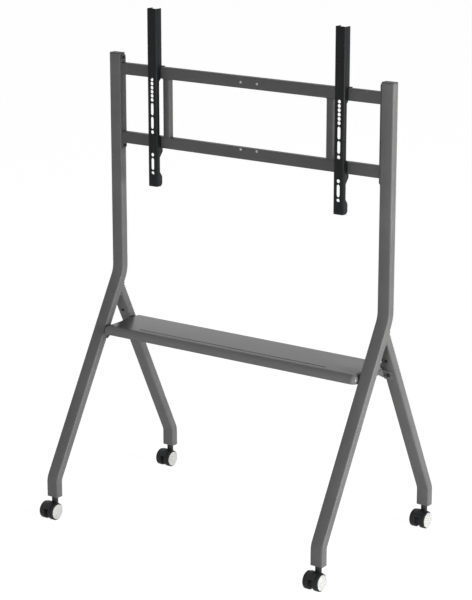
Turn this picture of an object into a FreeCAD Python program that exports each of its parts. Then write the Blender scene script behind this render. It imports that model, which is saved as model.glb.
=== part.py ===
import FreeCAD, Part
import math
import os

Vector = FreeCAD.Vector

# Overall stand, seen from the front: X across, Y towards the back, Z up from the floor
overall_width = 963.0
upright_height = 1333.0
overrun = 4.0
fit_clearance = 0.1
slide_clearance = 0.3

# Flat faces that stand for round corners and small round pieces
tube_chords = 2
inner_chords = 1
plan_chords = 4
roll_chords = 3
wheel_sides = 20
neck_sides = 12
head_sides = 12
hidden_sides = 8
hood_chords = 8

# Side frame tubes
tube_width = 40.0
tube_depth = 25.0
tube_wall = 1.5
tube_corner = 4.5
knee_height = 683.5
knee_radius = 75.0
branch_drop = 36.6
ankle_height = 117.9
ankle_radius = 40.0
front_reach = 326.3
rear_reach = 239.7

# Plastic caps in the tops of the uprights
cap_head = 3.0
cap_edge = 1.4
cap_wall = 2.0

# Threaded steel inserts welded in the foot ends
insert_height = 12.0

# Cross rails and the two posts between them
rail_height = 33.5
rail_depth = 20.0
rail_wall = 1.5
rail_corner = 2.5
rail_spacing = 202.0
post_width = 22.0
post_inset = 160.2
accessory_hole_radius = 2.2
accessory_spacing = 55.0
accessory_offset = 10.5
accessory_rise = 11.5

# End plates that bolt the rail assembly to the uprights
plate_thickness = 3.0
plate_side_inset = 2.0
plate_top_drop = 1.0
plate_above_rail = 24.3
plate_below_rail = 17.7
plate_chamfer = 5.0
plate_bolt_inset = 9.5

# Pan head bolts and screws, and the rivet nuts that take them
bolt_radius = 3.0
bolt_head_radius = 5.2
bolt_tail = 9.0
screw_radius = 3.0
screw_head_radius = 5.8
screw_tail = 7.0
pan_height = 3.4
pan_round = 1.7
nut_wall = 1.5
nut_bulge = 1.0
nut_length = 9.0

# Pressed steel shelf
shelf_drop = 107.4
shelf_sheet = 1.5
shelf_edge_height = 24.6
shelf_edge_roll = 13.5
shelf_corner = 30.0
shelf_front = 117.4
shelf_rear = 53.6
groove_width = 5.0
groove_depth = 0.7
groove_from_rear = 141.5
groove_end_margin = 115.0

# Folded brackets that hang the shelf between the legs
bracket_sheet = 2.0
bracket_leg_drop = 44.0
bracket_mid_drop = 21.5
bracket_taper = 44.6
bracket_tab_width = 30.0
bracket_tab_length = 32.0
bracket_tab_chamfer = 8.0
bracket_screw_inset = 14.3

# Channel arms that carry the screen
arm_width = 32.0
arm_sheet = 2.0
arm_bend = 4.0
arm_above_rail = 169.3
arm_below_rail = 111.2
arm_upper_depth = 26.5
arm_rail_depth = 21.5
arm_middle_depth = 14.0
arm_lip_depth = 6.5
arm_top_slope = 4.0
arm_left_inset = 126.5
arm_right_inset = 116.1
ear_depth = 28.0
ear_lip_depth = 23.5
ear_height = 10.2
ear_taper = 16.0
arm_shoulder = 7.0
foot_ear_depth = 24.5
foot_ear_height = 42.0
foot_ear_taper = 14.0
foot_ear_chamfer = 6.5

# Holes in the face of an arm
arm_hole_width = 12.5
arm_hole_height = 10.0
arm_hole_corner = 3.0
arm_hole_bridge = 1.8
arm_hole_count = 6
arm_first_hole_drop = 12.35
arm_slot_length = 35.0
arm_slot_bridge = 4.6
arm_lower_hole_drop = 12.7
arm_rivet_radius = 2.6
arm_rivet_tail = 1.0
arm_rivet_rise = 16.3

# Hook that hangs an arm on the upper rail
hook_sheet = 3.6
hook_lip = 16.0
hook_leg = 24.0
hook_corner = 2.6

# Moulded ribbed grip in the lower end of an arm
grip_height = 33.0
grip_stand = 1.6
grip_rib_pitch = 4.0
grip_rib_gap = 1.6
grip_rib_depth = 1.1

# Twin wheel castors
wheel_radius = 25.4
wheel_width = 17.6
wheel_edge = 2.0
wheel_web = 3.0
wheel_rim = 5.0
wheel_hub_radius = 6.5
castor_width = 51.0
castor_trail = 19.3
castor_headroom = 14.2
side_gap = 0.6
tread_gap = 1.1
cap_disc_radius = 23.2
cap_disc_thickness = 1.5
cap_disc_step = 0.5
cap_disc_rim = 3.4
cap_disc_spigot = 3.0
axle_radius = 3.0
axle_inset = 5.0
running_clearance = 0.05
hood_thickness = 2.0
hood_width = 29.0
hood_front_angle = 148.0
hood_rear_angle = -12.0
web_disc_radius = 14.0
neck_radius = 9.0
neck_gap = 0.3
collar_height = 4.0
stem_radius = 4.0
stem_depth = 27.0
stem_thread = 11.0

# Places worked out from the sizes above
foot_height = 2 * wheel_radius + castor_headroom
branch_height = knee_height - branch_drop
shelf_level = branch_height - shelf_drop
front_extent = front_reach + castor_trail + wheel_radius
rear_extent = rear_reach + tube_depth / 2
upright_y = (front_extent - rear_extent) / 2
upright_x = overall_width / 2 - tube_width / 2
inner_x = overall_width / 2 - tube_width
rail_half_length = inner_x - plate_thickness
post_offset = rail_half_length - post_inset
arm_left_offset = rail_half_length - arm_left_inset
arm_right_offset = rail_half_length - arm_right_inset
plate_top = upright_height - plate_top_drop
upper_rail_level = plate_top - plate_above_rail - rail_height / 2
lower_rail_level = upper_rail_level - rail_spacing
plate_bottom = lower_rail_level - rail_height / 2 - plate_below_rail
rail_front_y = upright_y - rail_depth / 2
arm_front_y = rail_front_y - slide_clearance - arm_rail_depth
arm_top = upper_rail_level + rail_height / 2 + arm_above_rail
arm_bottom = lower_rail_level - rail_height / 2 - arm_below_rail
arm_rivet_level = upper_rail_level + rail_height / 2 + arm_rivet_rise
leg_slope = front_reach / (knee_height - ankle_height)
branch_y = upright_y - branch_drop * leg_slope
foot_front_y = upright_y - front_reach
foot_rear_y = upright_y + rear_reach
x_axis = Vector(1, 0, 0)
y_axis = Vector(0, 1, 0)
z_axis = Vector(0, 0, 1)


def rounded_points(width, depth, corner, chords):
    """Corners of a centred rectangle in the XY plane, each rounded in a few chords."""
    points = []
    for quarter, (sx, sy) in enumerate(((1, 1), (-1, 1), (-1, -1), (1, -1))):
        centre = Vector(sx * (width / 2 - corner), sy * (depth / 2 - corner), 0)
        for step in range(chords + 1):
            angle = math.pi / 2 * (quarter + step / chords)
            point = centre + Vector(math.cos(angle), math.sin(angle), 0) * corner
            if not points or point.distanceToPoint(points[-1]) > fit_clearance / 2:
                points.append(point)
    return points


def closed_face(points):
    return Part.Face(Part.makePolygon(points + points[:1]))


def rounded_block(width, depth, corner, chords, low, high, x, y):
    """An upright prism with rounded corners between two levels."""
    face = closed_face(rounded_points(width, depth, corner, chords))
    face.translate(Vector(x, y, low))
    return face.extrude(Vector(0, 0, high - low))


def stacked(rings):
    """A solid through rings of points, each joined to the next by flat faces."""
    faces = [closed_face(rings[0]), closed_face(rings[-1])]
    for low, high in zip(rings, rings[1:]):
        for index in range(len(low)):
            following = (index + 1) % len(low)
            faces.append(closed_face([low[index], low[following], high[following], high[index]]))
    solid = Part.Solid(Part.Shell(faces))
    if solid.Volume < 0:
        solid.reverse()
    return solid


def round_stack(profile, sides, start, direction):
    """A round piece in flat faces, from (distance along, radius to a flat) pairs."""
    turn = FreeCAD.Rotation(z_axis, direction)
    half_side = math.pi / sides
    rings = []
    for along, radius in profile:
        reach = radius / math.cos(half_side)
        ring = []
        for index in range(sides):
            angle = half_side + math.tau * index / sides
            point = Vector(reach * math.cos(angle), reach * math.sin(angle), along)
            ring.append(start + turn.multVec(point))
        rings.append(ring)
    return stacked(rings)


def round_bar(radius, sides, start, direction, length):
    return round_stack([(0, radius), (length, radius)], sides, start, direction)


def cylinder(radius, start, direction, length):
    return Part.makeCylinder(radius, length, start, direction)


def arc_points(centre, radius, first_angle, last_angle, chords):
    """Points (y, z) along an arc about a centre, the angle measured from +Y up."""
    points = []
    for step in range(chords + 1):
        angle = math.radians(first_angle + (last_angle - first_angle) * step / chords)
        points.append((centre.y + radius * math.cos(angle), centre.z + radius * math.sin(angle)))
    return points


def side_prism(points, x_low, x_high):
    """A flat outline of (y, z) points carried across X."""
    face = closed_face([Vector(x_low, y, z) for y, z in points])
    return face.extrude(Vector(x_high - x_low, 0, 0))


def bent_path(points, radii):
    """Straight runs joined by tangent arcs."""
    edges = []
    start = points[0]
    for index, radius in enumerate(radii):
        corner = points[index + 1]
        before = (corner - points[index]).normalize()
        after = (points[index + 2] - corner).normalize()
        half_turn = before.getAngle(after) / 2
        tangent = radius * math.tan(half_turn)
        inward = (after - before).normalize()
        arc_start = corner - before * tangent
        arc_end = corner + after * tangent
        middle = corner + inward * (radius / math.cos(half_turn) - radius)
        edges.append(Part.LineSegment(start, arc_start).toShape())
        edges.append(Part.Arc(arc_start, middle, arc_end).toShape())
        start = arc_end
    edges.append(Part.LineSegment(start, points[-1]).toShape())
    return Part.Wire(edges)


def swept_section(points, radii, width, depth, corner, chords):
    """A rounded rectangle carried along a bent path in the YZ plane."""
    outline = rounded_points(width, depth, corner, chords)
    section = Part.makePolygon(outline + outline[:1])
    heading = points[1] - points[0]
    turn = FreeCAD.Rotation(x_axis, math.degrees(math.atan2(-heading.y, heading.z)))
    section.Placement = FreeCAD.Placement(points[0], turn)
    return bent_path(points, radii).makePipeShell([section], True, False)


def hollow_tube(points, radii):
    outer = swept_section(points, radii, tube_width, tube_depth, tube_corner, tube_chords)
    bore_width = tube_width - 2 * tube_wall
    bore_depth = tube_depth - 2 * tube_wall
    bore_corner = tube_corner - tube_wall
    bore = swept_section(points, radii, bore_width, bore_depth, bore_corner, inner_chords)
    return outer, outer.cut(bore)


def mirrored(shape):
    return shape.mirror(Vector(0, 0, 0), x_axis)


# Leg geometry on the right side
def front_leg_points():
    return [
        Vector(upright_x, upright_y, upright_height),
        Vector(upright_x, upright_y, knee_height),
        Vector(upright_x, foot_front_y, ankle_height),
        Vector(upright_x, foot_front_y, foot_height),
    ]


def rear_leg_points():
    return [
        Vector(upright_x, branch_y, branch_height),
        Vector(upright_x, foot_rear_y, ankle_height),
        Vector(upright_x, foot_rear_y, foot_height),
    ]


def leg_frame(top, bottom, facing):
    """Direction down a leg and the outward normal of its face towards `facing`."""
    along = (bottom - top).normalize()
    normal = Vector(0, -along.z, along.y)
    if normal.y * facing < 0:
        normal = normal * -1
    return along, normal


def point_on_face(top, bottom, facing, level):
    """Point of a leg's face, at its middle, at a level."""
    along, normal = leg_frame(top, bottom, facing)
    base = top + normal * (tube_depth / 2)
    return base + along * ((level - base.z) / along.z)


# Holes that bolts and screws need, on the right side
def plate_bolt_levels():
    return plate_top - plate_bolt_inset, plate_bottom + plate_bolt_inset


def shelf_tabs():
    """Place and directions of the two bracket tabs: corner, down the leg, off its face."""
    front = front_leg_points()
    rear = rear_leg_points()
    low = shelf_level - bracket_leg_drop
    places = []
    for top, bottom, facing in ((front[1], front[2], 1), (rear[0], rear[1], -1)):
        along, normal = leg_frame(top, bottom, facing)
        places.append((point_on_face(top, bottom, facing, low), along, normal))
    return places


def shelf_screw_places():
    places = []
    for corner, along, normal in shelf_tabs():
        middle = corner - along * (bracket_tab_length / 2)
        middle.x = inner_x + bracket_screw_inset
        places.append((middle, normal))
    return places


def fastener_hole(radius, face, direction, thickness):
    """What a fastener's hole takes out of a sheet whose near face is at `face`."""
    return round_bar(radius, hidden_sides, face - direction * overrun, direction,
                     thickness + 2 * overrun)


def make_side_frame():
    front = front_leg_points()
    rear = rear_leg_points()
    outer, upright = hollow_tube(front, [knee_radius, ankle_radius])
    rear_leg = hollow_tube(rear, [ankle_radius])[1].cut(outer)
    for level in plate_bolt_levels():
        face = Vector(inner_x, upright_y, level)
        upright = upright.cut(fastener_hole(bolt_radius + nut_wall, face, x_axis, tube_wall))
    for place, normal in shelf_screw_places():
        drill = fastener_hole(screw_radius + nut_wall, place, normal * -1, tube_wall)
        upright = upright.cut(drill)
        rear_leg = rear_leg.cut(drill)
    return upright, rear_leg


# Pieces that fill the tube's bore
def bore_block(low, high, y, inset):
    """A block that fits the tube's bore, or is smaller than it by `inset` all round."""
    shrink = tube_wall + fit_clearance + inset
    corner = max(tube_corner - shrink, fit_clearance)
    return rounded_block(tube_width - 2 * shrink, tube_depth - 2 * shrink, corner, inner_chords,
                         low, high, upright_x, y)


def make_top_cap():
    rings = []
    for rise, inset in ((0, 0), (cap_head - cap_edge, 0), (cap_head, cap_edge)):
        ring = rounded_points(tube_width - 2 * inset, tube_depth - 2 * inset,
                              tube_corner - inset, tube_chords)
        place = Vector(upright_x, upright_y, upright_height + rise)
        rings.append([point + place for point in ring])
    head = stacked(rings)
    low = plate_bolt_levels()[0] + bolt_radius + nut_wall + nut_bulge + slide_clearance
    skirt = bore_block(low, upright_height, upright_y, 0)
    hollow = bore_block(low - overrun, upright_height - cap_wall, upright_y, cap_wall)
    return head.fuse(skirt).cut(hollow).removeSplitter()


def make_foot_insert(y):
    block = bore_block(foot_height, foot_height + insert_height, y, 0)
    underside = Vector(upright_x, y, foot_height)
    return block.cut(fastener_hole(stem_radius + running_clearance, underside, z_axis,
                                   insert_height))


def make_rail(level):
    """A rail of rectangular tube, with two accessory holes in its front wall."""
    def bar(height, depth, corner, chords):
        face = closed_face(rounded_points(height, depth, corner, chords))
        face.rotate(Vector(0, 0, 0), y_axis, 90)
        face.translate(Vector(-rail_half_length, upright_y, level))
        return face.extrude(Vector(2 * rail_half_length, 0, 0))

    rail = bar(rail_height, rail_depth, rail_corner, tube_chords)
    rail = rail.cut(bar(rail_height - 2 * rail_wall, rail_depth - 2 * rail_wall,
                        rail_corner - rail_wall, inner_chords))
    rise = 0 if level > lower_rail_level else accessory_rise
    for side in (-1, 1):
        start = Vector(accessory_offset + side * accessory_spacing / 2, rail_front_y - overrun,
                       level + rise)
        rail = rail.cut(cylinder(accessory_hole_radius, start, y_axis, rail_wall + 2 * overrun))
    return rail


def make_post():
    low = lower_rail_level + rail_height / 2
    high = upper_rail_level - rail_height / 2
    post = rounded_block(post_width, rail_depth, rail_corner, tube_chords, low, high,
                         post_offset, upright_y)
    bore = rounded_block(post_width - 2 * rail_wall, rail_depth - 2 * rail_wall,
                         rail_corner - rail_wall, inner_chords, low - overrun, high + overrun,
                         post_offset, upright_y)
    return post.cut(bore)


def make_end_plate():
    front = upright_y - tube_depth / 2 + plate_side_inset
    back = upright_y + tube_depth / 2 - plate_side_inset
    cut = plate_chamfer
    outline = [
        (front, plate_bottom + cut), (front, plate_top - cut), (front + cut, plate_top),
        (back - cut, plate_top), (back, plate_top - cut), (back, plate_bottom + cut),
        (back - cut, plate_bottom), (front + cut, plate_bottom),
    ]
    plate = side_prism(outline, rail_half_length, inner_x)
    for level in plate_bolt_levels():
        face = Vector(rail_half_length, upright_y, level)
        plate = plate.cut(fastener_hole(bolt_radius + fit_clearance, face, x_axis,
                                        plate_thickness))
    return plate


# Fasteners
def make_pan_screw(radius, head_radius, seat, direction, length):
    """Screw with a low domed head; `seat` is the face under the head."""
    head_profile = [
        (0, head_radius - pan_round), (pan_round, head_radius), (pan_height, head_radius),
    ]
    head = round_stack(head_profile, head_sides, seat - direction * pan_height, direction)
    return head.fuse(round_bar(radius, hidden_sides, seat, direction, length))


def make_rivet_nut(radius, face, direction):
    """Sleeve through a tube wall, swelled behind it; `face` is the outer face of the wall."""
    outer = radius + nut_wall - fit_clearance
    profile = [
        (0, outer), (tube_wall, outer), (tube_wall, radius + nut_wall + nut_bulge),
        (nut_length, outer),
    ]
    bore = fastener_hole(radius + fit_clearance, face, direction, nut_length)
    return round_stack(profile, hidden_sides, face, direction).cut(bore)


def make_fasteners():
    bolts = []
    screws = []
    nuts = []
    for level in plate_bolt_levels():
        seat = Vector(rail_half_length, upright_y, level)
        bolts.append(make_pan_screw(bolt_radius, bolt_head_radius, seat, x_axis,
                                    plate_thickness + tube_wall + bolt_tail))
        wall_face = Vector(inner_x, upright_y, level)
        nuts.append(make_rivet_nut(bolt_radius, wall_face, x_axis))
    for place, normal in shelf_screw_places():
        inward = normal * -1
        screws.append(make_pan_screw(screw_radius, screw_head_radius,
                                     place + normal * bracket_sheet, inward,
                                     bracket_sheet + tube_wall + screw_tail))
        nuts.append(make_rivet_nut(screw_radius, place, inward))
    groups = []
    for group in (bolts, screws, nuts):
        groups.append(Part.makeCompound(group + [mirrored(solid) for solid in group]))
    return groups


# Shelf and its brackets
def shelf_shell(inset):
    """Outer or inner skin of the tray: round corners in plan and a rolled top edge."""
    length = 2 * (inner_x - bracket_sheet)
    depth = shelf_front + shelf_rear
    middle = Vector(0, upright_y + (shelf_rear - shelf_front) / 2, 0)
    roll_base = shelf_level - shelf_edge_roll
    roll = shelf_edge_roll - inset
    levels = [(shelf_level - shelf_edge_height - (overrun if inset else 0), inset)]
    for step in range(roll_chords + 1):
        angle = math.pi / 2 * step / roll_chords
        levels.append((roll_base + roll * math.sin(angle),
                       shelf_edge_roll - roll * math.cos(angle)))
    rings = []
    for level, side_inset in levels:
        ring = rounded_points(length - 2 * side_inset, depth - 2 * side_inset,
                              shelf_corner - side_inset, plan_chords)
        rings.append([point + middle + Vector(0, 0, level) for point in ring])
    return stacked(rings)


def make_shelf():
    shelf = shelf_shell(0).cut(shelf_shell(shelf_sheet))
    groove_y = upright_y + shelf_rear - groove_from_rear
    groove_length = 2 * (inner_x - groove_end_margin)
    groove = rounded_block(groove_length, groove_width, groove_width / 2, roll_chords,
                           shelf_level - groove_depth, shelf_level + overrun, 0, groove_y)
    return shelf.cut(groove)


def make_bracket():
    """Plate between the legs under the shelf end, with a tab folded out on each leg."""
    low = shelf_level - bracket_leg_drop
    middle = shelf_level - bracket_mid_drop
    high = shelf_level - shelf_edge_roll
    front = front_leg_points()
    rear = rear_leg_points()
    front_low = point_on_face(front[1], front[2], 1, low)
    front_high = point_on_face(front[1], front[2], 1, high)
    rear_low = point_on_face(rear[0], rear[1], -1, low)
    rear_high = point_on_face(rear[0], rear[1], -1, high)
    outline = [
        (front_low.y, low), (front_high.y, high), (rear_high.y, high), (rear_low.y, low),
        (rear_low.y - bracket_taper, middle), (front_low.y + bracket_taper, middle),
    ]
    bracket = side_prism(outline, inner_x - bracket_sheet, inner_x)
    chamfer = bracket_tab_chamfer
    for corner, along, normal in shelf_tabs():
        root_x = inner_x - bracket_sheet
        end_x = inner_x + bracket_tab_width
        base = Vector(0, corner.y, corner.z)
        spots = [
            (root_x, 0), (end_x - chamfer, 0), (end_x, chamfer),
            (end_x, bracket_tab_length - chamfer), (end_x - chamfer, bracket_tab_length),
            (root_x, bracket_tab_length),
        ]
        points = [base + x_axis * x - along * run for x, run in spots]
        bracket = bracket.fuse(closed_face(points).extrude(normal * bracket_sheet))
    for place, normal in shelf_screw_places():
        face = place + normal * bracket_sheet
        bracket = bracket.cut(fastener_hole(screw_radius + fit_clearance, face, normal * -1,
                                            bracket_sheet))
    return bracket.removeSplitter()


# Screen arms, drawn about their own centre line and then set across the stand
def arm_flange_outline(middle_depth, lower_ear_depth):
    """Side outline of one flange as (depth behind the face, level)."""
    rail_top = upper_rail_level + rail_height / 2 + slide_clearance
    rail_under = upper_rail_level - rail_height / 2
    low_rail_top = lower_rail_level + rail_height / 2
    low_rail_under = lower_rail_level - rail_height / 2 - slide_clearance
    ear_bottom = low_rail_under - ear_height
    foot_top = arm_bottom + foot_ear_height
    return [
        (0, arm_bottom),
        (0, arm_top),
        (arm_upper_depth, arm_top - arm_top_slope),
        (arm_upper_depth, rail_top),
        (arm_rail_depth, rail_top),
        (arm_rail_depth, rail_under),
        (middle_depth, rail_under - arm_shoulder),
        (middle_depth, low_rail_top + arm_shoulder),
        (arm_rail_depth, low_rail_top),
        (arm_rail_depth, low_rail_under),
        (lower_ear_depth, low_rail_under),
        (lower_ear_depth, ear_bottom),
        (middle_depth, ear_bottom - ear_taper),
        (middle_depth, foot_top),
        (foot_ear_depth, foot_top - foot_ear_taper),
        (foot_ear_depth, arm_bottom + foot_ear_chamfer),
        (foot_ear_depth - foot_ear_chamfer, arm_bottom),
    ]


def arm_section(inset):
    """Upright prism with the channel's outline, or one smaller by `inset` at the front."""
    depth = foot_ear_depth + ear_depth
    return rounded_block(arm_width - 2 * inset, 2 * (depth - inset), arm_bend - inset,
                         tube_chords if inset < arm_sheet else inner_chords,
                         arm_bottom - overrun, arm_top + overrun, 0, arm_front_y + depth)


def arm_hole_spans():
    """Low and high levels of the holes in an arm's face, from the top down."""
    high = upper_rail_level - arm_first_hole_drop
    upper = [(high, [arm_hole_height] * arm_hole_count, arm_hole_bridge)]
    low = high - arm_hole_count * (arm_hole_height + arm_hole_bridge)
    low = low + arm_hole_bridge - arm_slot_bridge
    upper.append((low, [arm_slot_length, arm_slot_length, arm_hole_height], arm_slot_bridge))
    lower_high = lower_rail_level - rail_height / 2 - arm_lower_hole_drop
    lower = [(lower_high, [arm_hole_height, arm_slot_length, arm_hole_height], arm_slot_bridge)]
    spans = []
    for level, lengths, bridge in upper + lower:
        for length in lengths:
            spans.append((level - length, level))
            level = level - length - bridge
    return spans


def arm_hole(bottom, top):
    """What a hole takes out of the face: round ends if it is tall, small corners if not."""
    near = arm_front_y - overrun
    run = arm_sheet + 2 * overrun
    half = arm_hole_width / 2
    if top - bottom > arm_hole_width:
        block = Part.makeBox(arm_hole_width, run, top - bottom - arm_hole_width,
                             Vector(-half, near, bottom + half))
        return block.fuse([cylinder(half, Vector(0, near, level), y_axis, run)
                           for level in (bottom + half, top - half)])
    face = closed_face(rounded_points(arm_hole_width, top - bottom, arm_hole_corner, inner_chords))
    face.rotate(Vector(0, 0, 0), x_axis, 90)
    face.translate(Vector(0, near, (bottom + top) / 2))
    return face.extrude(y_axis * run)


def make_arm():
    blank = arm_section(0).cut(arm_section(arm_sheet))
    flange_x = arm_width / 2 - arm_bend
    edge_x = arm_width / 2 + overrun
    face_band = side_prism([(arm_front_y - overrun, arm_bottom), (arm_front_y - overrun, arm_top),
                            (arm_front_y + arm_sheet, arm_top),
                            (arm_front_y + arm_sheet, arm_bottom)], -flange_x, flange_x)
    arm = blank.common(face_band)
    for middle_depth, lower_ear, x_low, x_high in (
            (arm_middle_depth, ear_depth, flange_x, edge_x),
            (arm_lip_depth, ear_lip_depth, -edge_x, -flange_x)):
        outline = [(arm_front_y + depth, level)
                   for depth, level in arm_flange_outline(middle_depth, lower_ear)]
        arm = arm.fuse(blank.common(side_prism(outline, x_low, x_high)))
    arm = arm.removeSplitter()
    for bottom, top in arm_hole_spans():
        arm = arm.cut(arm_hole(bottom, top))
    place = Vector(0, arm_front_y, arm_rivet_level)
    return arm.cut(fastener_hole(arm_rivet_radius + fit_clearance, place, y_axis, arm_sheet))


def make_hook():
    """Z-shaped hook inside the channel, over the upper rail and down behind it."""
    seat = upper_rail_level + rail_height / 2 + slide_clearance
    face = arm_front_y + arm_sheet
    behind = rail_front_y + rail_depth + slide_clearance
    back = behind + hook_sheet
    half = arm_width / 2 - arm_sheet - fit_clearance
    outline = [
        (face, seat), (face, seat + hook_leg), (face + hook_sheet, seat + hook_leg),
        (face + hook_sheet, seat + hook_sheet), (back - hook_corner, seat + hook_sheet),
        (back, seat + hook_sheet - hook_corner), (back, seat - hook_lip),
        (behind, seat - hook_lip), (behind, seat),
    ]
    hook = side_prism(outline, -half, half).common(arm_section(arm_sheet))
    place = Vector(0, face, arm_rivet_level)
    return hook.cut(fastener_hole(arm_rivet_radius + fit_clearance, place, y_axis, hook_sheet))


def make_arm_rivet():
    """Flush rivet that joins the hook to the face of the arm."""
    length = arm_sheet + hook_sheet
    start = Vector(0, arm_front_y, arm_rivet_level)
    body = round_bar(arm_rivet_radius, hidden_sides, start, y_axis, length)
    tail = round_bar(arm_rivet_radius + arm_rivet_tail, hidden_sides, start + y_axis * length,
                     y_axis, arm_rivet_tail)
    return body.fuse(tail)


def make_grip():
    """Moulded block between the flanges at the lower end, ribbed along its back."""
    half = arm_width / 2 - arm_sheet - fit_clearance
    face = arm_front_y + arm_sheet
    back = arm_front_y + foot_ear_depth + grip_stand
    low = arm_bottom
    high = low + grip_height
    shoulder = arm_front_y + arm_middle_depth
    outline = [
        (face, low), (face, high), (shoulder, high), (back, high - foot_ear_taper),
        (back, low + foot_ear_chamfer), (back - foot_ear_chamfer, low),
    ]
    grip = side_prism(outline, -half, half).common(arm_section(arm_sheet + fit_clearance))
    run = high - foot_ear_taper - low - foot_ear_chamfer
    count = int(run / grip_rib_pitch)
    for index in range(count):
        level = low + foot_ear_chamfer + (index + 0.5) * run / count - grip_rib_gap / 2
        groove = Part.makeBox(2 * half + 2 * overrun, grip_rib_depth + overrun, grip_rib_gap,
                              Vector(-half - overrun, back - grip_rib_depth, level))
        grip = grip.cut(groove)
    return grip


# Castor, drawn about its own swivel axis and then set under a foot
wheel_outer_x = castor_width / 2 - cap_disc_thickness
wheel_inner_x = wheel_outer_x - wheel_width
fork_half = wheel_inner_x - side_gap
axle_place = Vector(0, -castor_trail, wheel_radius)
neck_top = foot_height - collar_height - neck_gap


def pin_hole(radius, start, direction, length):
    """Bore whose flat faces just clear a round pin."""
    return round_bar(radius + running_clearance, hidden_sides, start, direction, length)


def make_wheel():
    inner = wheel_inner_x
    outer = wheel_outer_x
    tyre_profile = [
        (inner, wheel_radius), (outer - wheel_edge, wheel_radius),
        (outer, wheel_radius - wheel_edge),
    ]
    wheel = round_stack(tyre_profile, wheel_sides, axle_place, x_axis)
    floor_place = axle_place + x_axis * (inner + wheel_web)
    wheel = wheel.cut(round_bar(wheel_radius - wheel_rim, hidden_sides, floor_place, x_axis,
                                wheel_width))
    hub_length = outer - axle_inset - inner - wheel_web
    wheel = wheel.fuse(round_bar(wheel_hub_radius, hidden_sides, floor_place, x_axis,
                                 hub_length))
    return wheel.cut(pin_hole(axle_radius, axle_place, x_axis, outer)).removeSplitter()


def make_hubcap():
    field = cap_disc_radius - cap_disc_rim
    seat = wheel_outer_x
    face = castor_width / 2
    disc_profile = [
        (seat, cap_disc_radius), (face - cap_disc_step, cap_disc_radius), (face, field),
    ]
    disc = round_stack(disc_profile, wheel_sides, axle_place, x_axis)
    spigot_place = axle_place + x_axis * (seat - cap_disc_spigot)
    spigot = round_bar(wheel_radius - wheel_rim - fit_clearance, hidden_sides, spigot_place,
                       x_axis, cap_disc_spigot)
    return disc.fuse(spigot).removeSplitter()


def make_axle():
    half = wheel_outer_x - axle_inset
    start = axle_place - x_axis * half
    return cylinder(axle_radius, start, x_axis, 2 * half)


def hood_sector(half_width, radius, low_points):
    """Part of a disc about the axle over the wheels, closed by the points inside it."""
    rim = arc_points(axle_place, radius, hood_rear_angle, hood_front_angle, hood_chords)
    return side_prism(rim + low_points, -half_width, half_width)


def make_castor_body():
    tread = wheel_radius + tread_gap
    skin = tread + hood_thickness
    inner_rim = arc_points(axle_place, tread, hood_front_angle, hood_rear_angle, hood_chords)
    hood = hood_sector(hood_width / 2, skin, inner_rim)
    web = hood_sector(fork_half, skin, [(axle_place.y, axle_place.z)])
    disc = round_bar(web_disc_radius, neck_sides, axle_place - x_axis * fork_half, x_axis,
                     2 * fork_half)
    neck_base = wheel_radius
    neck = round_bar(neck_radius, neck_sides, Vector(0, 0, neck_base), z_axis,
                     neck_top - neck_base)
    for side in (-1, 1):
        start = axle_place + x_axis * (side * fork_half)
        neck = neck.cut(round_bar(tread, wheel_sides, start, x_axis * side,
                                  neck_radius + overrun))
    body = hood.fuse([web, disc, neck])
    bore_bottom = Vector(0, 0, neck_top - stem_depth)
    body = body.cut(pin_hole(stem_radius, bore_bottom, z_axis, stem_depth + overrun))
    start = axle_place - x_axis * (fork_half + overrun)
    body = body.cut(pin_hole(axle_radius, start, x_axis, 2 * (fork_half + overrun)))
    return body.removeSplitter()


def make_stem():
    """Pin in the castor neck, collar under the foot and thread in the insert."""
    low = neck_top - stem_depth + neck_gap
    under_collar = foot_height - collar_height
    pin = cylinder(stem_radius, Vector(0, 0, low), z_axis, under_collar - low)
    collar = round_bar(neck_radius, neck_sides, Vector(0, 0, under_collar), z_axis, collar_height)
    thread = round_bar(stem_radius, hidden_sides, Vector(0, 0, foot_height), z_axis, stem_thread)
    return pin.fuse([collar, thread])


def moved(shape, x, y):
    copy = shape.copy()
    copy.translate(Vector(x, y, 0))
    return copy


def build():
    parts = {}
    upright, rear_leg = make_side_frame()
    bolts, screws, nuts = make_fasteners()
    pairs = {
        "upright": upright, "rear_leg": rear_leg, "top_cap": make_top_cap(),
        "foot_insert_front": make_foot_insert(foot_front_y),
        "foot_insert_rear": make_foot_insert(foot_rear_y),
        "end_plate": make_end_plate(), "rail_post": make_post(),
        "shelf_bracket": make_bracket(),
    }
    for name, shape in pairs.items():
        parts[name + "_right"] = shape
        parts[name + "_left"] = mirrored(shape)
    parts["upper_rail"] = make_rail(upper_rail_level)
    parts["lower_rail"] = make_rail(lower_rail_level)
    parts["plate_bolts"] = bolts
    parts["shelf_screws"] = screws
    parts["rivet_nuts"] = nuts
    parts["shelf"] = make_shelf()
    arm_pieces = {"arm": make_arm(), "arm_hook": make_hook(), "arm_rivet": make_arm_rivet(),
                  "arm_grip": make_grip()}
    for name, shape in arm_pieces.items():
        parts[name + "_left"] = moved(shape, -arm_left_offset, 0)
        parts[name + "_right"] = moved(shape, arm_right_offset, 0)
    wheel = make_wheel()
    hubcap = make_hubcap()
    castor_pieces = {
        "castor_stem": make_stem(), "castor_body": make_castor_body(),
        "castor_axle": make_axle(),
        "castor_wheel_a": wheel, "hubcap_a": hubcap,
        "castor_wheel_b": mirrored(wheel), "hubcap_b": mirrored(hubcap),
    }
    for row, y in (("front", foot_front_y), ("rear", foot_rear_y)):
        for side, x in (("left", -upright_x), ("right", upright_x)):
            for name, shape in castor_pieces.items():
                parts[name + "_" + row + "_" + side] = moved(shape, x, y)
    return parts


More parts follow.
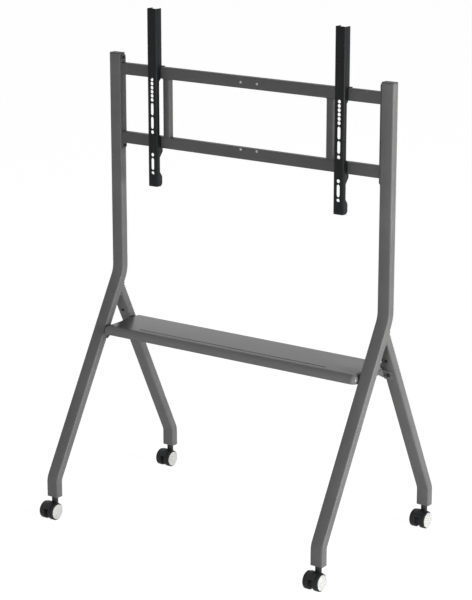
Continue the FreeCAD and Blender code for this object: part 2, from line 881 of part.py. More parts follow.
os.makedirs("parts", exist_ok=True)
for part_name, part_shape in sorted(build().items()):
    if not part_shape.isValid() or part_shape.Volume <= 0:
        raise RuntimeError(part_name + " is not a valid solid")
    part_shape.exportStep("parts/" + part_name + ".step")
    box = part_shape.BoundBox
    print("%-32s solids %d  x %8.1f %8.1f  y %8.1f %8.1f  z %8.1f %8.1f  volume %10.0f" % (
        part_name, len(part_shape.Solids), box.XMin, box.XMax, box.YMin, box.YMax,
        box.ZMin, box.ZMax, part_shape.Volume))
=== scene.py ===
import math

import bmesh
import bpy
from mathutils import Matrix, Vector


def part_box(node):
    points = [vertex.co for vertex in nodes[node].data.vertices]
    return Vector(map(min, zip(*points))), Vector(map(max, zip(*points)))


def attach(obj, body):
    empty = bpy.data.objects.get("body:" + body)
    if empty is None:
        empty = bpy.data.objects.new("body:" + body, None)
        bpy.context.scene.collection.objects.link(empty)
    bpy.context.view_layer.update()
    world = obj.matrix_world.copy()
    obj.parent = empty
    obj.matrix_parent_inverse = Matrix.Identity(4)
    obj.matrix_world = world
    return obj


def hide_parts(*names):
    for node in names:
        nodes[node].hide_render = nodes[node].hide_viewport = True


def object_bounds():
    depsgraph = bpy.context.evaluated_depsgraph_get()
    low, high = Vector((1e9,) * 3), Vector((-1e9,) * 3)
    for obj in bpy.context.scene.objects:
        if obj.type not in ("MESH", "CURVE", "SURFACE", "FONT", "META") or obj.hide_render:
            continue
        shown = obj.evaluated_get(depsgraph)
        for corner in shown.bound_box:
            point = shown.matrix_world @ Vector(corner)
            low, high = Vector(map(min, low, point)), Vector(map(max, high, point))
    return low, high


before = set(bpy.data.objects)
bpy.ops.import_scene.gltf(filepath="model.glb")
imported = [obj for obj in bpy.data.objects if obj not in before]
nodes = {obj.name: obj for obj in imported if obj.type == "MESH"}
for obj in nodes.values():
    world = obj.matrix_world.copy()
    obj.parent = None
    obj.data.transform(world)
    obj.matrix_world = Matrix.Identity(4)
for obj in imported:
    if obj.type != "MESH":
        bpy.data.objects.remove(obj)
cadLow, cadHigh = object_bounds()
scene = bpy.context.scene
print("frame loaded:", len(nodes), "nodes")


# ---- small helpers for materials
def hexColour(text):
    channels = [int(text[i:i + 2], 16) / 255 for i in (1, 3, 5)]
    linear = [c / 12.92 if c <= 0.04045 else ((c + 0.055) / 1.055) ** 2.4 for c in channels]
    return (*linear, 1.0)


def addNode(tree, kind, settings=None, values=None, links=None):
    node = tree.nodes.new(kind)
    for name, value in (settings or {}).items():
        setattr(node, name, value)
    for name, value in (values or {}).items():
        node.inputs[name].default_value = value
    for name, source in (links or {}).items():
        tree.links.new(source, node.inputs[name])
    return node


# shared by all finishes: how the clouds fade into each other, how fine each pattern is, and
# how many times wider than deep the orange peel and the grain are
pattern = {
    "cloudStops": (0.36, 0.64), "glossStops": (0.3, 0.7), "cloudDetail": 3.0,
    "grainDetail": 2.0, "peelWidthPerDepth": 30, "grainWidthPerDepth": 10,
}


def makeFinish(name, look):
    # colour clouds, uneven gloss and two sizes of surface grain, all scaled in real millimetres
    material = bpy.data.materials.new(name)
    material.use_nodes = True
    tree = material.node_tree
    shader = tree.nodes["Principled BSDF"]
    shader.inputs["Metallic"].default_value = look.get("metallic", 0.0)
    if "ior" in look:
        shader.inputs["IOR"].default_value = look["ior"]
    if "specular" in look:
        shader.inputs["Specular IOR Level"].default_value = look["specular"]
    place = addNode(tree, "ShaderNodeTexCoord").outputs["Object"]
    cloud = addNode(tree, "ShaderNodeTexNoise", None,
                    {"Scale": 1000 / look["cloudMm"], "Detail": pattern["cloudDetail"]},
                    {"Vector": place})
    colour = addNode(tree, "ShaderNodeValToRGB", None, None, {"Fac": cloud.outputs["Fac"]})
    stops = colour.color_ramp.elements
    stops[0].position, stops[1].position = pattern["cloudStops"]
    stops[0].color, stops[1].color = hexColour(look["dark"]), hexColour(look["light"])
    tree.links.new(colour.outputs["Color"], shader.inputs["Base Color"])
    gloss = addNode(tree, "ShaderNodeMapRange", None,
                    {"From Min": pattern["glossStops"][0], "From Max": pattern["glossStops"][1],
                     "To Min": look["roughness"][0], "To Max": look["roughness"][1]},
                    {"Value": cloud.outputs["Fac"]})
    tree.links.new(gloss.outputs["Result"], shader.inputs["Roughness"])
    peel = addNode(tree, "ShaderNodeTexNoise", None,
                   {"Scale": 1000 / look["peelMm"], "Detail": pattern["grainDetail"]},
                   {"Vector": place})
    grain = addNode(tree, "ShaderNodeTexNoise", None,
                    {"Scale": 1000 / look["grainMm"], "Detail": pattern["grainDetail"]},
                    {"Vector": place})
    peelBump = addNode(tree, "ShaderNodeBump", None,
                       {"Strength": look["peelStrength"],
                        "Distance": look["peelMm"] / pattern["peelWidthPerDepth"] / 1000},
                       {"Height": peel.outputs["Fac"]})
    grainBump = addNode(tree, "ShaderNodeBump", None,
                        {"Strength": look["grainStrength"],
                         "Distance": look["grainMm"] / pattern["grainWidthPerDepth"] / 1000},
                        {"Height": grain.outputs["Fac"], "Normal": peelBump.outputs["Normal"]})
    tree.links.new(grainBump.outputs["Normal"], shader.inputs["Normal"])
    return material, tree, shader, place, grainBump


# ---- finishes
# epoxy powder coat baked on steel tube: satin, with orange peel that breaks up the highlights
frameCoatLook = {
    "dark": "#656665", "light": "#6D6E6D", "roughness": (0.38, 0.48), "ior": 1.5,
    "specular": 0.35, "cloudMm": 90, "peelMm": 5.0, "peelStrength": 0.5,
    "grainMm": 1.6, "grainStrength": 0.35,  # the real grain, near 0.4 mm, would not show
}
# the same powder on the cross rails and posts, its colour painted darker as painted shade
shadedRailCoatLook = {
    "dark": "#555655", "light": "#5B5C5B", "roughness": (0.40, 0.5), "ior": 1.5,
    "specular": 0.3, "cloudMm": 110, "peelMm": 5.0, "peelStrength": 0.5,
    "grainMm": 1.6, "grainStrength": 0.35,
}
# the same powder on flat sheet: it flows out smoother, so the tray mirrors the legs softly
shelfCoatLook = {
    "dark": "#737473", "light": "#797A79", "roughness": (0.20, 0.27), "ior": 1.45,
    "specular": 0.36, "cloudMm": 160, "peelMm": 7.0, "peelStrength": 0.22,
    "grainMm": 2.0, "grainStrength": 0.08,
}
# black electrocoat on folded sheet: thin and satin, almost no texture
armCoatLook = {
    "dark": "#0F1012", "light": "#151618", "roughness": (0.42, 0.52), "ior": 1.45,
    "specular": 0.2, "cloudMm": 60, "peelMm": 4.0, "peelStrength": 0.3,
    "grainMm": 1.2, "grainStrength": 0.2,
}
# black passivated zinc on fasteners: dull metal with cloudy patches
blackZincLook = {
    "dark": "#1D1E20", "light": "#2B2C2E", "roughness": (0.38, 0.55), "metallic": 0.7,
    "cloudMm": 5, "peelMm": 2.0, "peelStrength": 0.2,
    "grainMm": 0.8, "grainStrength": 0.2,
}
# bright zinc on the rivet nuts: pale metal with faint yellow and blue patches
brightZincLook = {
    "dark": "#B3B5AF", "light": "#C9CCD0", "roughness": (0.28, 0.42), "metallic": 1.0,
    "cloudMm": 4, "peelMm": 1.5, "peelStrength": 0.2,
    "grainMm": 0.6, "grainStrength": 0.15,
}
# polyethylene caps: soft sheen, slight waxy bloom
capPlasticLook = {
    "dark": "#484948", "light": "#4F504F", "roughness": (0.42, 0.52), "ior": 1.5,
    "specular": 0.35, "cloudMm": 18, "peelMm": 2.5, "peelStrength": 0.2,
    "grainMm": 0.9, "grainStrength": 0.3,
}
# filled nylon, moulded against a spark-eroded tool: fine even stipple
nylonLook = {
    "dark": "#101113", "light": "#18191B", "roughness": (0.38, 0.48), "ior": 1.5,
    "specular": 0.3, "cloudMm": 25, "peelMm": 3.0, "peelStrength": 0.15,
    "grainMm": 1.0, "grainStrength": 0.35,
}
# polyurethane tread: rubbery, scuffed a little where it rolls
treadLook = {
    "dark": "#0F1012", "light": "#1A1B1D", "roughness": (0.55, 0.7), "ior": 1.48,
    "specular": 0.3, "cloudMm": 12, "peelMm": 2.5, "peelStrength": 0.3,
    "grainMm": 1.1, "grainStrength": 0.45,
}
# glossy light grey ABS hubcaps
hubcapLook = {
    "dark": "#CBCCC8", "light": "#D4D5D1", "roughness": (0.24, 0.34), "ior": 1.5,
    "specular": 0.4, "cloudMm": 30, "peelMm": 4.0, "peelStrength": 0.12,
    "grainMm": 1.0, "grainStrength": 0.08,
}
# blackened steel turned on a lathe: dark, with fine rings round the stem and the axle
steelLook = {
    "dark": "#1C1D1F", "light": "#2A2B2D", "roughness": (0.36, 0.5), "metallic": 0.6,
    "cloudMm": 8, "peelMm": 1.5, "peelStrength": 0.15,
    "grainMm": 0.7, "grainStrength": 0.15,
    "ringMm": 0.8, "ringWobble": 0.4, "ringStrength": 0.25, "ringWidthPerDepth": 20,
}
# ribbed polypropylene grip in the end of an arm
gripLook = {
    "dark": "#1D1E20", "light": "#252628", "roughness": (0.44, 0.56), "ior": 1.49,
    "specular": 0.3, "cloudMm": 15, "peelMm": 2.0, "peelStrength": 0.2,
    "grainMm": 0.9, "grainStrength": 0.4,
}

finishes = {
    "frameCoat": makeFinish("powderCoatedTube", frameCoatLook)[0],
    # the rails' coat is the frame's powder painted darker, as painted shade
    "shadedRailCoat": makeFinish("powderCoatedRailPaintedShade", shadedRailCoatLook)[0],
    "shelfCoat": makeFinish("powderCoatedTray", shelfCoatLook)[0],
    "armCoat": makeFinish("blackElectrocoat", armCoatLook)[0],
    "blackZinc": makeFinish("blackZincFastener", blackZincLook)[0],
    "brightZinc": makeFinish("brightZincRivetNut", brightZincLook)[0],
    "capPlastic": makeFinish("mouldedPolyethyleneCap", capPlasticLook)[0],
    "nylon": makeFinish("sparkErodedNylon", nylonLook)[0],
    "tread": makeFinish("polyurethaneTread", treadLook)[0],
    "hubcap": makeFinish("glossyAbsHubcap", hubcapLook)[0],
    "grip": makeFinish("ribbedPolypropylene", gripLook)[0],
}


def turnedSteelFinish():
    material, tree, shader, place, bump = makeFinish("turnedBlackSteel", steelLook)
    rings = addNode(tree, "ShaderNodeTexWave", {"wave_type": "BANDS", "bands_direction": "Z"},
                    {"Scale": 1000 / steelLook["ringMm"] / math.tau,
                     "Distortion": steelLook["ringWobble"]},
                    {"Vector": place})
    ringBump = addNode(tree, "ShaderNodeBump", None,
                       {"Strength": steelLook["ringStrength"],
                        "Distance": steelLook["ringMm"] / steelLook["ringWidthPerDepth"] / 1000},
                       {"Height": rings.outputs["Fac"], "Normal": bump.outputs["Normal"]})
    tree.links.new(ringBump.outputs["Normal"], shader.inputs["Normal"])
    return material


finishes["steel"] = turnedSteelFinish()
print("finishes made:", len(finishes))

# ---- finish of every CAD node: the first start of a name that fits counts, so the tray's
# "shelf" stands last
nodeFinishes = {
    "upright_": "frameCoat", "rear_leg_": "frameCoat", "upper_rail": "shadedRailCoat",
    "lower_rail": "shadedRailCoat", "rail_post_": "shadedRailCoat", "end_plate_": "frameCoat",
    "shelf_bracket_": "frameCoat", "shelf_screws": "blackZinc", "plate_bolts": "blackZinc",
    "rivet_nuts": "brightZinc", "foot_insert_": "steel", "top_cap_": "capPlastic",
    "arm_hook_": "armCoat", "arm_rivet_": "armCoat", "arm_grip_": "grip",
    "arm_left": "armCoat", "arm_right": "armCoat", "castor_stem_": "steel",
    "castor_axle_": "steel", "castor_body_": "nylon", "castor_wheel_": "tread",
    "hubcap_": "hubcap", "shelf": "shelfCoat",
}
for nodeName, nodeObject in nodes.items():
    for start, finish in nodeFinishes.items():
        if nodeName.startswith(start):
            nodeObject.data.materials.clear()
            nodeObject.data.materials.append(finishes[finish])
            break
    else:
        print("no finish for", nodeName)
print("nodes painted")


# ---- small helpers for modelling
tolerance = 0.0001
doublesWithin = 0.00001
facing, squarely = 0.9, 0.99  # how far a normal runs along an axis before its face counts
flatWithin = math.radians(1)
edgeSegments = 2


def setMode(mode):
    if bpy.context.object and bpy.context.object.mode != mode:
        bpy.ops.object.mode_set(mode=mode)


def takeUp(piece):
    # makes a piece the only one selected, and opens it for editing
    setMode("OBJECT")
    bpy.ops.object.select_all(action="DESELECT")
    piece.select_set(True)
    bpy.context.view_layer.objects.active = piece
    setMode("EDIT")
    bpy.ops.mesh.select_mode(type="VERT")
    bpy.ops.mesh.select_all(action="SELECT")


def startPiece(name, addPrimitive, stretch=(1, 1, 1), **sizes):
    setMode("OBJECT")
    bpy.ops.object.select_all(action="DESELECT")
    addPrimitive(**sizes)
    piece = bpy.context.object
    piece.name = name
    piece.scale = stretch
    bpy.ops.object.transform_apply(location=True, rotation=True, scale=True)
    takeUp(piece)
    return piece


def startSection(name, size, corner, segments, place, turn=(0, 0, 0)):
    # a flat rectangle with round corners, the start of tubes, caps and the tray
    piece = startPiece(name, bpy.ops.mesh.primitive_plane_add, (*size, 1),
                       size=1, location=place, rotation=turn)
    bpy.ops.mesh.bevel(offset=corner, segments=segments, affect="VERTICES")
    bpy.ops.mesh.select_all(action="SELECT")
    return piece


def pick(piece, kind, test):
    # selects the vertices, edges or faces whose middle passes the test
    bpy.ops.mesh.select_mode(type={"verts": "VERT", "edges": "EDGE", "faces": "FACE"}[kind])
    bpy.ops.mesh.select_all(action="DESELECT")
    mesh = bmesh.from_edit_mesh(piece.data)
    for element in getattr(mesh, kind):
        corners = [element] if kind == "verts" else element.verts
        middle = sum((corner.co for corner in corners), Vector()) / len(corners)
        if test(element, middle):
            element.select_set(True)
    bmesh.update_edit_mesh(piece.data)


def shift(move):
    bpy.ops.transform.translate(value=move)


def extrude(move):
    bpy.ops.mesh.extrude_region_move(TRANSFORM_OT_translate={"value": move})


def useModifier(piece, kind, **settings):
    setMode("OBJECT")
    bpy.context.view_layer.objects.active = piece
    modifier = piece.modifiers.new(kind.title(), kind)
    for name, value in settings.items():
        setattr(modifier, name, value)
    bpy.ops.object.modifier_apply(modifier=modifier.name)


def closeUp(piece):
    # doubles merged, then faces turned outwards
    takeUp(piece)
    bpy.ops.mesh.remove_doubles(threshold=doublesWithin)
    bpy.ops.mesh.normals_make_consistent(inside=False)
    setMode("OBJECT")


def cutAway(piece, cutter):
    closeUp(cutter)
    useModifier(piece, "BOOLEAN", object=cutter, operation="DIFFERENCE", solver="EXACT")
    bpy.data.objects.remove(cutter)


def copyPiece(piece, name, move=(0, 0, 0), mirrorAt=None):
    # a copy with a mesh of its own, moved, or mirrored across a plane x = mirrorAt
    twin = piece.copy()
    twin.data = piece.data.copy()
    twin.name = name
    scene.collection.objects.link(twin)
    takeUp(twin)
    if mirrorAt is not None:
        bpy.ops.transform.resize(value=(-1, 1, 1), center_override=(mirrorAt, 0, 0))
        bpy.ops.mesh.flip_normals()
    shift(move)
    setMode("OBJECT")
    return twin


def joinPieces(name, pieces):
    setMode("OBJECT")
    bpy.ops.object.select_all(action="DESELECT")
    for piece in pieces:
        piece.select_set(True)
    bpy.context.view_layer.objects.active = pieces[0]
    bpy.ops.object.join()
    pieces[0].name = name
    return pieces[0]


def finishPiece(piece, body, finish, stoodFor=(), smoothAngle=35):
    takeUp(piece)
    setMode("OBJECT")
    bpy.ops.object.shade_smooth_by_angle(angle=math.radians(smoothAngle))
    piece.data.materials.clear()
    piece.data.materials.append(finishes[finish])
    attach(piece, body)
    if stoodFor:
        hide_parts(*stoodFor)


def mergedCopy(nodeName, name):
    # a copy of a CAD solid with its loose triangles merged into flat faces, open for editing
    setMode("OBJECT")
    piece = bpy.data.objects.new(name, nodes[nodeName].data.copy())
    scene.collection.objects.link(piece)
    closeUp(piece)
    takeUp(piece)
    bpy.ops.mesh.dissolve_limited(angle_limit=flatWithin)
    return piece


def breakEdges(piece, edge, turn=30):
    # rounds the edges that turn by more than so many degrees, as after deburring
    useModifier(piece, "BEVEL", width=edge, segments=edgeSegments, limit_method="ANGLE",
                angle_limit=math.radians(turn), use_clamp_overlap=True)


sides = {"left": -1, "right": 1}

# ---- bent legs of the side frames
legs = {
    "section": (0.040, 0.025), "corner": 0.0045, "cornerSegments": 5, "wall": 0.0015,
    "kneeHeight": 0.6835, "kneeRadius": 0.075, "branchDrop": 0.0366,
    "ankleHeight": 0.1179, "ankleRadius": 0.040, "bendSteps": 8, "flush": 0.0044,
}
uprightLow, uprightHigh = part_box("upright_right")
rearLow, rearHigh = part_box("rear_leg_right")
frameX = (uprightLow.x + uprightHigh.x) / 2
innerX = uprightLow.x
uprightY = uprightHigh.y - legs["section"][1] / 2
footY = {"front": uprightLow.y + legs["section"][1] / 2,
         "rear": rearHigh.y - legs["section"][1] / 2}
footHeight = uprightLow.z
frontLeg = [
    Vector((frameX, uprightY, uprightHigh.z)),
    Vector((frameX, uprightY, legs["kneeHeight"])),
    Vector((frameX, footY["front"], legs["ankleHeight"])),
    Vector((frameX, footY["front"], footHeight)),
]
frontRun = (frontLeg[2] - frontLeg[1]).normalized()
branch = frontLeg[1] + frontRun * (legs["branchDrop"] / -frontRun.z)
rearLeg = [
    branch,
    Vector((frameX, footY["rear"], legs["ankleHeight"])),
    Vector((frameX, footY["rear"], footHeight)),
]
rearRun = (rearLeg[1] - rearLeg[0]).normalized()
# which way the back of the front leg and the front of the rear leg face
frontBackFace = Vector((0, -frontRun.z, frontRun.y))
rearFrontFace = Vector((0, rearRun.z, -rearRun.y))
halfTube = legs["section"][1] / 2


def bendTube(name, points, radii):
    # an open round-cornered section carried down straight runs and round the bends
    heading = (points[1] - points[0]).normalized()
    tilt = math.atan2(heading.y, -heading.z)
    piece = startSection(name, legs["section"], legs["corner"], legs["cornerSegments"],
                         points[0], (tilt, 0, 0))
    bpy.ops.mesh.delete(type="ONLY_FACE")
    bpy.ops.mesh.select_all(action="SELECT")
    spot = points[0]
    for index, radius in enumerate(radii):
        corner = points[index + 1]
        before = (corner - points[index]).normalized()
        after = (points[index + 2] - corner).normalized()
        turn = before.angle(after)
        reach = radius * math.tan(turn / 2)
        bendStart = corner - before * reach
        extrude(bendStart - spot)
        inward = (after - before * before.dot(after)).normalized()
        bpy.ops.mesh.spin(steps=legs["bendSteps"], angle=turn, center=bendStart + inward * radius,
                          axis=-before.cross(after).normalized())
        spot = corner + after * reach
    extrude(points[-1] - spot)
    return piece


def giveWall(piece, wall):
    closeUp(piece)
    useModifier(piece, "SOLIDIFY", thickness=wall, offset=-1, use_even_offset=True)


uprightTube = bendTube("uprightTubeRight", frontLeg, [legs["kneeRadius"], legs["ankleRadius"]])
giveWall(uprightTube, legs["wall"])
rearTube = bendTube("rearLegTubeRight", rearLeg, [legs["ankleRadius"]])
bpy.ops.mesh.select_all(action="SELECT")
# the cut lies a little inside the front leg, so that the weld looks ground flush at the sides
bpy.ops.mesh.bisect(plane_co=branch + frontBackFace * (halfTube - legs["flush"]),
                    plane_no=frontBackFace, clear_inner=True)
giveWall(rearTube, legs["wall"])
for side, sign in sides.items():
    for name, nodeStart, tube in (("uprightTube", "upright_", uprightTube),
                                  ("rearLegTube", "rear_leg_", rearTube)):
        piece = tube if sign > 0 else copyPiece(tube, name + "Left", mirrorAt=0)
        finishPiece(piece, "frame", "frameCoat", [nodeStart + side])
print("legs bent")

# ---- caps in the tops of the uprights
caps = {"head": 0.003, "edge": 0.0014, "edgeSegments": 4, "skirtInset": 0.0018, "skirt": 0.006}
capPiece = startSection("topCapRight", legs["section"], legs["corner"], legs["cornerSegments"],
                        frontLeg[0])
extrude((0, 0, caps["head"]))
pick(capPiece, "faces", lambda face, middle: face.normal.z > facing
     and middle.z > frontLeg[0].z + caps["head"] / 2)
bpy.ops.mesh.bevel(offset=caps["edge"], segments=caps["edgeSegments"], affect="EDGES")
pick(capPiece, "faces", lambda face, middle: abs(face.normal.z) > facing
     and middle.z < frontLeg[0].z + tolerance)
bpy.ops.mesh.inset(thickness=caps["skirtInset"], depth=0)
extrude((0, 0, -caps["skirt"]))
closeUp(capPiece)
for side, sign in sides.items():
    piece = capPiece if sign > 0 else copyPiece(capPiece, "topCapLeft", mirrorAt=0)
    finishPiece(piece, "frame", "capPlastic", ["top_cap_" + side])
print("caps made")

# ---- cross rails and posts
rails = {
    "corner": 0.0025, "cornerSegments": 4, "wall": 0.0015, "holeRadius": 0.0022,
    "holeOffset": 0.0105, "holeSpacing": 0.055, "lowerHoleRise": 0.0115, "holeSides": 24,
}
rivet = {
    "rim": 0.0034, "rimHeight": 0.0007, "rimRound": 0.00042, "rimSegments": 3,
    "sleeve": 0.006, "sleeveRadius": 0.0021, "bore": 0.0016, "boreDepth": 0.0054,
}


def straightTube(name, low, high, along):
    # a tube of rectangular section along X or Z
    middle = (low + high) / 2
    size = high - low
    if along == "X":
        section, start = (size.z, size.y), (low.x, middle.y, middle.z)
        turn, run = (0, math.radians(90), 0), (size.x, 0, 0)
    else:
        section, start = (size.x, size.y), (middle.x, middle.y, low.z)
        turn, run = (0, 0, 0), (0, 0, size.z)
    piece = startSection(name, section, rails["corner"], rails["cornerSegments"], start, turn)
    bpy.ops.mesh.delete(type="ONLY_FACE")
    bpy.ops.mesh.select_all(action="SELECT")
    extrude(run)
    giveWall(piece, rails["wall"])
    return piece


def makeRivetRim(spot):
    # the flange of a rivet nut on the face of a rail, with its sleeve and its bore behind
    piece = startPiece("rivetRim", bpy.ops.mesh.primitive_cylinder_add,
                       vertices=rails["holeSides"], radius=rivet["rim"],
                       depth=rivet["rimHeight"], rotation=(math.radians(90), 0, 0),
                       location=spot - Vector((0, rivet["rimHeight"] / 2, 0)))
    pick(piece, "faces", lambda face, middle: face.normal.y > facing)
    bpy.ops.mesh.inset(thickness=rivet["rim"] - rivet["sleeveRadius"], depth=0)
    extrude((0, rivet["sleeve"], 0))
    pick(piece, "faces", lambda face, middle: face.normal.y < -facing)
    bpy.ops.mesh.bevel(offset=rivet["rimRound"], segments=rivet["rimSegments"],
                       affect="EDGES")
    pick(piece, "faces", lambda face, middle: face.normal.y < -squarely
         and (middle - spot).xz.length < rivet["rimHeight"])
    bpy.ops.mesh.inset(thickness=rivet["rim"] - rivet["rimRound"] - rivet["bore"], depth=0)
    extrude((0, rivet["boreDepth"], 0))
    closeUp(piece)
    return piece


rivetRims = []
# rails and posts take the darker rail coat, whose colour is painted shade
for name, node, rise in (("upperRailTube", "upper_rail", 0),
                         ("lowerRailTube", "lower_rail", rails["lowerHoleRise"])):
    low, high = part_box(node)
    tube = straightTube(name, low, high, "X")
    for sign in sides.values():
        spot = Vector((rails["holeOffset"] + sign * rails["holeSpacing"] / 2, low.y,
                       (low.z + high.z) / 2 + rise))
        cutter = startPiece("holeCutter", bpy.ops.mesh.primitive_cylinder_add,
                            vertices=rails["holeSides"], radius=rails["holeRadius"],
                            depth=4 * rails["wall"], location=spot,
                            rotation=(math.radians(90), 0, 0))
        cutAway(tube, cutter)
        rivetRims.append(makeRivetRim(spot))
    finishPiece(tube, "frame", "shadedRailCoat", [node])
finishPiece(joinPieces("railRivetNuts", rivetRims), "frame", "brightZinc")
for side in sides:
    node = "rail_post_" + side
    post = straightTube("postTube" + side.title(), *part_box(node), "Z")
    finishPiece(post, "frame", "shadedRailCoat", [node])
print("rails made")

# ---- end plates and brackets, from the CAD solids with their edges broken
sheetEdge = 0.0004
# the ledge that a bracket folds in under the end of the tray, which rests on it
ledge = {"width": 0.030, "sheet": 0.002, "front": -0.034, "back": 0.074}
trayLow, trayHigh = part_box("shelf")
for side, sign in sides.items():
    plate = mergedCopy("end_plate_" + side, "boltedPlate" + side.title())
    breakEdges(plate, sheetEdge)
    # the end plates also take the darker rail coat, whose colour is painted shade
    finishPiece(plate, "frame", "shadedRailCoat", ["end_plate_" + side])
    bracket = mergedCopy("shelf_bracket_" + side, "foldedBracket" + side.title())
    breakEdges(bracket, sheetEdge)
    bracketLedge = startPiece(
        "bracketLedge", bpy.ops.mesh.primitive_plane_add,
        (ledge["width"], ledge["back"] - ledge["front"], 1), size=1,
        location=(sign * (trayHigh.x - ledge["width"] / 2),
                  (ledge["back"] + ledge["front"]) / 2, trayLow.z))
    extrude((0, 0, -ledge["sheet"]))
    bpy.ops.mesh.select_all(action="SELECT")
    bpy.ops.mesh.bevel(offset=sheetEdge, segments=edgeSegments, affect="EDGES")
    closeUp(bracketLedge)
    bracket = joinPieces(bracket.name, [bracket, bracketLedge])
    finishPiece(bracket, "frame", "frameCoat", ["shelf_bracket_" + side])
print("plates and brackets made")

# ---- weld beads at the rail ends, the posts and the crotches of the legs
beads = {"pitch": 0.0022, "sides": 10, "swell": 1.16, "endTaper": 0.4, "smoothAngle": 60}


def beadAlong(axisName, length, radius):
    # stacked ripples, grown one by one from a small disc that faces along the bead
    axis = Vector((0, 1, 0)) if axisName == "Y" else Vector((1, 0, 0))
    rotation = (math.radians(90), 0, 0) if axisName == "Y" else (0, math.radians(90), 0)
    count = round(length / beads["pitch"])
    step = axis * (length / (2 * count))
    piece = startPiece("weldBead", bpy.ops.mesh.primitive_circle_add, vertices=beads["sides"],
                       radius=radius * beads["endTaper"], fill_type="NGON",
                       location=-axis * length / 2, rotation=rotation)
    grow = 1 / beads["endTaper"]
    for ripple in range(2 * count):
        extrude(step)
        if ripple == 2 * count - 1:
            grow = beads["endTaper"]
        bpy.ops.transform.resize(value=(grow, grow, grow))
        grow = 1 / beads["swell"] if ripple % 2 else beads["swell"]
    closeUp(piece)
    return piece


railBeadShape = {"length": 0.016, "radius": 0.0016, "sunk": 0.3}
railBead = beadAlong("Y", railBeadShape["length"], railBeadShape["radius"])
tuck = railBeadShape["radius"] * railBeadShape["sunk"]
railBeads = []
for node in ("upper_rail", "lower_rail"):
    low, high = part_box(node)
    for sign in sides.values():
        for z, outward in ((low.z, -1), (high.z, 1)):
            place = (sign * (high.x - tuck), uprightY, z + outward * tuck)
            railBeads.append(copyPiece(railBead, "bead", place))
for side in sides:
    low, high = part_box("rail_post_" + side)
    for x, outward in ((low.x, -1), (high.x, 1)):
        for z, inward in ((low.z, 1), (high.z, -1)):
            place = (x + outward * tuck, uprightY, z + inward * tuck)
            railBeads.append(copyPiece(railBead, "bead", place))
bpy.data.objects.remove(railBead)
# the beads on the rails and posts take the same darker coat, painted shade
finishPiece(joinPieces("railWeldBeads", railBeads), "frame", "shadedRailCoat",
            smoothAngle=beads["smoothAngle"])

# along each corner between the front leg and the rear leg, under it (1) and above it (-1)
legBeadShape = {"length": 0.039, "radii": {1: 0.0032, -1: 0.0018}, "sunk": 0.85}
legBeads = []
crotch = branch + frontBackFace * halfTube
openAngle = frontRun.angle(rearRun)
for along, radius in legBeadShape["radii"].items():
    legBead = beadAlong("X", legBeadShape["length"], radius)
    corner = crotch + frontRun * (along * halfTube * (1 + along * math.cos(openAngle))
                                  / math.sin(openAngle))
    outward = (frontRun * along + rearRun).normalized()
    wedge = (frontRun * along).angle(rearRun)
    spot = corner + outward * (radius * legBeadShape["sunk"] / math.sin(wedge / 2))
    for sign in sides.values():
        legBeads.append(copyPiece(legBead, "bead", (sign * frameX, spot.y, spot.z)))
    bpy.data.objects.remove(legBead)
finishPiece(joinPieces("legWeldBeads", legBeads), "frame", "frameCoat",
            smoothAngle=beads["smoothAngle"])
print("weld beads laid")

# ---- pressed tray with a rolled rim and a swaged groove
tray = {
    "corner": 0.0175, "cornerSegments": 10, "roll": 0.0170, "rollSegments": 10,
    "sheet": 0.0015, "grooveWidth": 0.008, "grooveEndSegments": 6, "grooveDepth": 0.0011,
    "grooveRound": 0.00099, "grooveRoundSegments": 4, "grooveFromRear": 0.1415,
    "grooveMargin": 0.115,
}
traySize = trayHigh - trayLow
trayMiddle = (trayLow + trayHigh) / 2
trayPiece = startSection("pressedTray", traySize.xy, tray["corner"], tray["cornerSegments"],
                         (trayMiddle.x, trayMiddle.y, trayLow.z))
extrude((0, 0, traySize.z))
pick(trayPiece, "faces", lambda face, middle: abs(face.normal.z) > facing
     and middle.z > trayHigh.z - tolerance)
bpy.ops.mesh.bevel(offset=tray["roll"], segments=tray["rollSegments"], affect="EDGES")
pick(trayPiece, "faces", lambda face, middle: abs(face.normal.z) > facing
     and middle.z < trayLow.z + tolerance)
bpy.ops.mesh.delete(type="FACE")
giveWall(trayPiece, tray["sheet"])
grooveCutter = startSection(
    "grooveCutter", (2 * (innerX - tray["grooveMargin"]), tray["grooveWidth"]),
    tray["grooveWidth"] / 2, tray["grooveEndSegments"],
    (0, trayHigh.y - tray["grooveFromRear"], trayHigh.z + tray["grooveWidth"]))
extrude((0, 0, -tray["grooveWidth"] - tray["grooveDepth"]))
pick(grooveCutter, "faces", lambda face, middle: abs(face.normal.z) > facing
     and middle.z < trayHigh.z)
bpy.ops.mesh.bevel(offset=tray["grooveRound"], segments=tray["grooveRoundSegments"],
                   affect="EDGES")
cutAway(trayPiece, grooveCutter)
finishPiece(trayPiece, "frame", "shelfCoat", ["shelf"])
print("tray pressed")

# ---- screen arms with their hooks and grips
arms = {
    "edge": 0.0005, "edgeTurn": 50, "faceDepth": 0.004, "endMargin": 0.001,
    "holeReach": 0.0065, "holeNarrowing": 0.8,
    "topReach": 0.006, "topFromFace": 0.02, "topRise": 0.003,
}
hooks = {
    "edge": 0.0004, "strapFromFace": 0.001, "strapThinning": 0.0021,
    "strapReach": (0.002, 0.006),  # above the rail
}
gripEdge = 0.0003
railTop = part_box("upper_rail")[1].z


def reshapeChannel(piece, low, high):
    # narrows the holes in the face, and lifts the back of the flanges' tops
    centre = (low.x + high.x) / 2
    pick(piece, "verts", lambda vertex, middle: abs(middle.x - centre) < arms["holeReach"]
         and middle.y < low.y + arms["faceDepth"]
         and low.z + arms["endMargin"] < middle.z < high.z - arms["endMargin"])
    bpy.ops.transform.resize(value=(arms["holeNarrowing"], 1, 1),
                             center_override=(centre, 0, 0))
    pick(piece, "verts", lambda vertex, middle: middle.z > high.z - arms["topReach"]
         and middle.y > low.y + arms["topFromFace"])
    shift((0, 0, arms["topRise"]))


